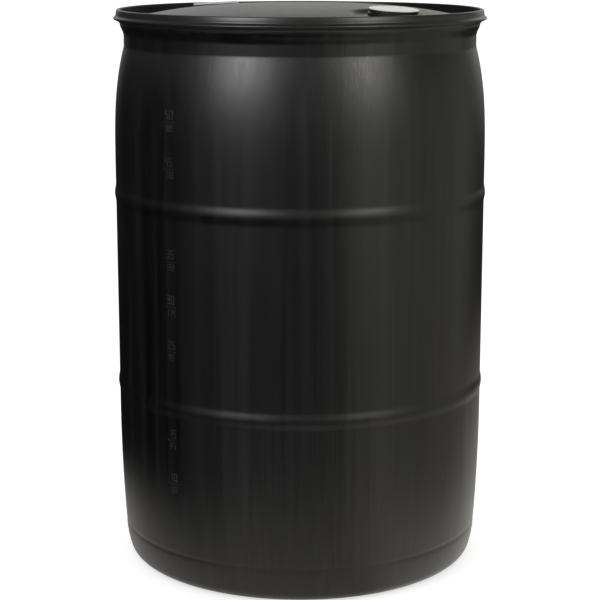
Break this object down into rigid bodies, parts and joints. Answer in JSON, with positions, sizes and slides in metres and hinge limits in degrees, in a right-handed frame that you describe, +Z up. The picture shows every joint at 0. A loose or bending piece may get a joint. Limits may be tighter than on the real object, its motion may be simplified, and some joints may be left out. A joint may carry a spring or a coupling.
{
  "type": "tight-head drum",
  "caption": "Black moulded plastic tight-head drum with rolling hoops, a top handling ring and screw bungs under white pull-off cap seals.",
  "frame": {"origin": "centre of the base, on the floor", "axes": "+Z up along the drum's axis; the fill closure is on +X and the vent closure on -X"},
  "size_m": [0.588, 0.5878, 0.8862],
  "materials": {
    "shell": "satin black moulded polyethylene",
    "ring": "satin black moulded polyethylene",
    "neck": "black injection-moulded polyethylene",
    "plug": "black injection-moulded polyethylene",
    "gasket": "dull black elastomer",
    "cap": "white soft-gloss polyethylene"
  },
  "bodies": {
    "drum": {"drum_shell": "shell", "handling_ring": "ring", "fill_neck": "neck", "vent_neck": "neck"},
    "fill_seat_ring": {"fill_gasket": "gasket"},
    "fill_bung": {"fill_plug": "plug"},
    "fill_cap": {"fill_cap_seal": "cap"},
    "vent_seat_ring": {"vent_gasket": "gasket"},
    "vent_bung": {"vent_plug": "plug"},
    "vent_cap": {"vent_cap_seal": "cap"}
  },
  "joints": [
    {"name": "fill_bung_rise", "type": "slide", "parent": "drum", "child": "fill_seat_ring", "axis": [0.0785, 0, 0.9969], "range_m": [0, 0.0141]},
    {"name": "fill_bung_turn", "type": "hinge", "parent": "fill_seat_ring", "child": "fill_bung", "pos_m": [0.208, 0, 0.87], "axis": [0.0785, 0, 0.9969], "range_deg": [0, 1260]},
    {"name": "fill_cap_pull", "type": "slide", "parent": "fill_bung", "child": "fill_cap", "axis": [0.0785, 0, 0.9969], "range_m": [0, 0.04]},
    {"name": "vent_bung_rise", "type": "slide", "parent": "drum", "child": "vent_seat_ring", "axis": [-0.0785, 0, 0.9969], "range_m": [0, 0.0111]},
    {"name": "vent_bung_turn", "type": "hinge", "parent": "vent_seat_ring", "child": "vent_bung", "pos_m": [-0.208, 0, 0.87], "axis": [-0.0785, 0, 0.9969], "range_deg": [0, 1800]},
    {"name": "vent_cap_pull", "type": "slide", "parent": "vent_bung", "child": "vent_cap", "axis": [-0.0785, 0, 0.9969], "range_m": [0, 0.04]}
  ],
  "couplings": [
    {"joint": "fill_bung_rise", "follows": "fill_bung_turn", "m_per_rad": 0.00063662},
    {"joint": "vent_bung_rise", "follows": "vent_bung_turn", "m_per_rad": 0.00035157}
  ]
}
